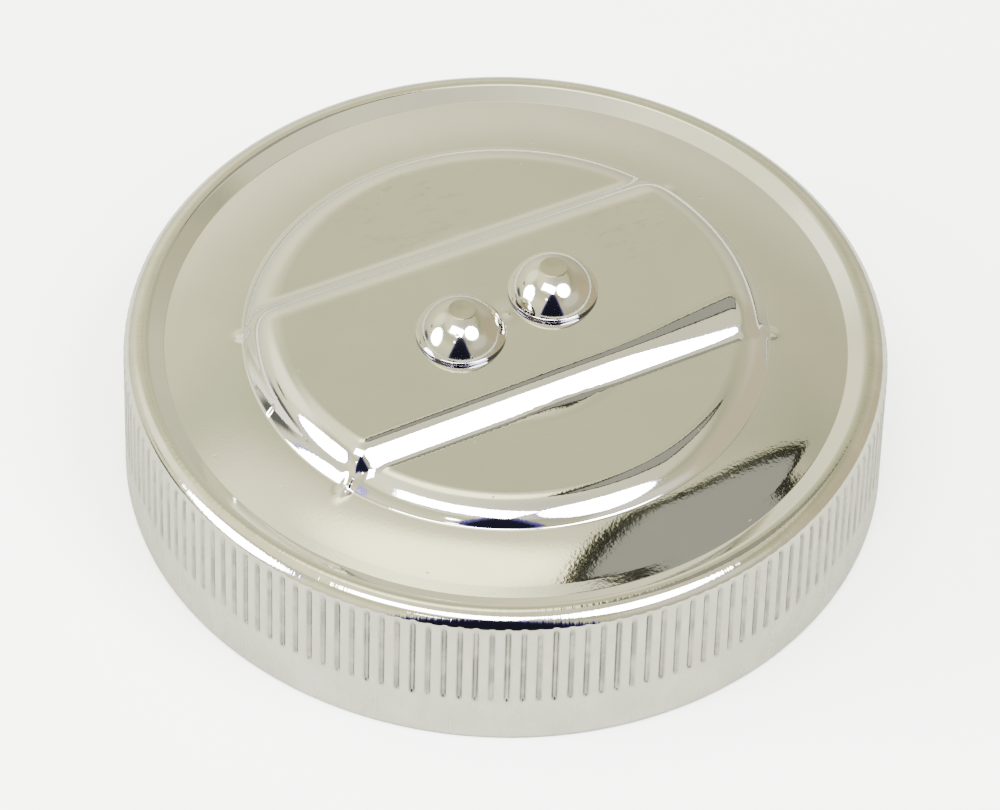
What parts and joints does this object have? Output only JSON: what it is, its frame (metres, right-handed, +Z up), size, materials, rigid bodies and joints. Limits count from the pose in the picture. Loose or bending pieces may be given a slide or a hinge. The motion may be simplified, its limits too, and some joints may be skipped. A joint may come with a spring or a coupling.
{
  "type": "filler cap",
  "caption": "Round pressed chrome filler cap with a raised grip bar, fluted skirt, sprung seal plate and riveted bayonet lock bar.",
  "frame": {"origin": "middle of the skirt's bottom edge, on the plane that the cap stands on", "axes": "+Z up through the crown, +X along the raised grip bar, +Y across it"},
  "size_m": [0.08, 0.08, 0.0252],
  "materials": {
    "chrome": "bright chrome plate over pressed steel, satin on the fluted skirt",
    "chrome_rivet": "bright chrome plate, lightly pitted",
    "zinc_steel": "zinc-plated steel, dull",
    "spring_steel": "oiled spring steel",
    "brass": "plain turned brass",
    "rubber": "matt black fuel-resistant rubber"
  },
  "bodies": {
    "cap": {"cover_shell": "chrome", "rivet_left": "chrome_rivet", "rivet_right": "chrome_rivet", "sleeve_left": "zinc_steel", "sleeve_right": "zinc_steel", "tail_washer_left": "zinc_steel", "tail_washer_right": "zinc_steel", "lock_bar": "zinc_steel", "star_spring": "spring_steel"},
    "seal": {"seal_plate": "zinc_steel", "seal_ring": "rubber", "seal_retainer": "zinc_steel", "grommet_left": "rubber", "grommet_right": "rubber", "vent_cage": "brass", "vent_spring": "spring_steel"},
    "vent": {"vent_disc": "brass", "vent_seal": "rubber"}
  },
  "joints": [
    {"name": "seal_slide", "type": "slide", "parent": "cap", "child": "seal", "axis": [0, 0, 1], "range_m": [0, 0.0018], "stiffness_N_per_m": 3000, "springref_m": -0.0015, "deforming": ["star_spring"]},
    {"name": "vent_slide", "type": "slide", "parent": "seal", "child": "vent", "axis": [0, 0, -1], "range_m": [0, 0.001], "stiffness_N_per_m": 60, "springref_m": -0.001, "deforming": ["vent_spring"]}
  ]
}
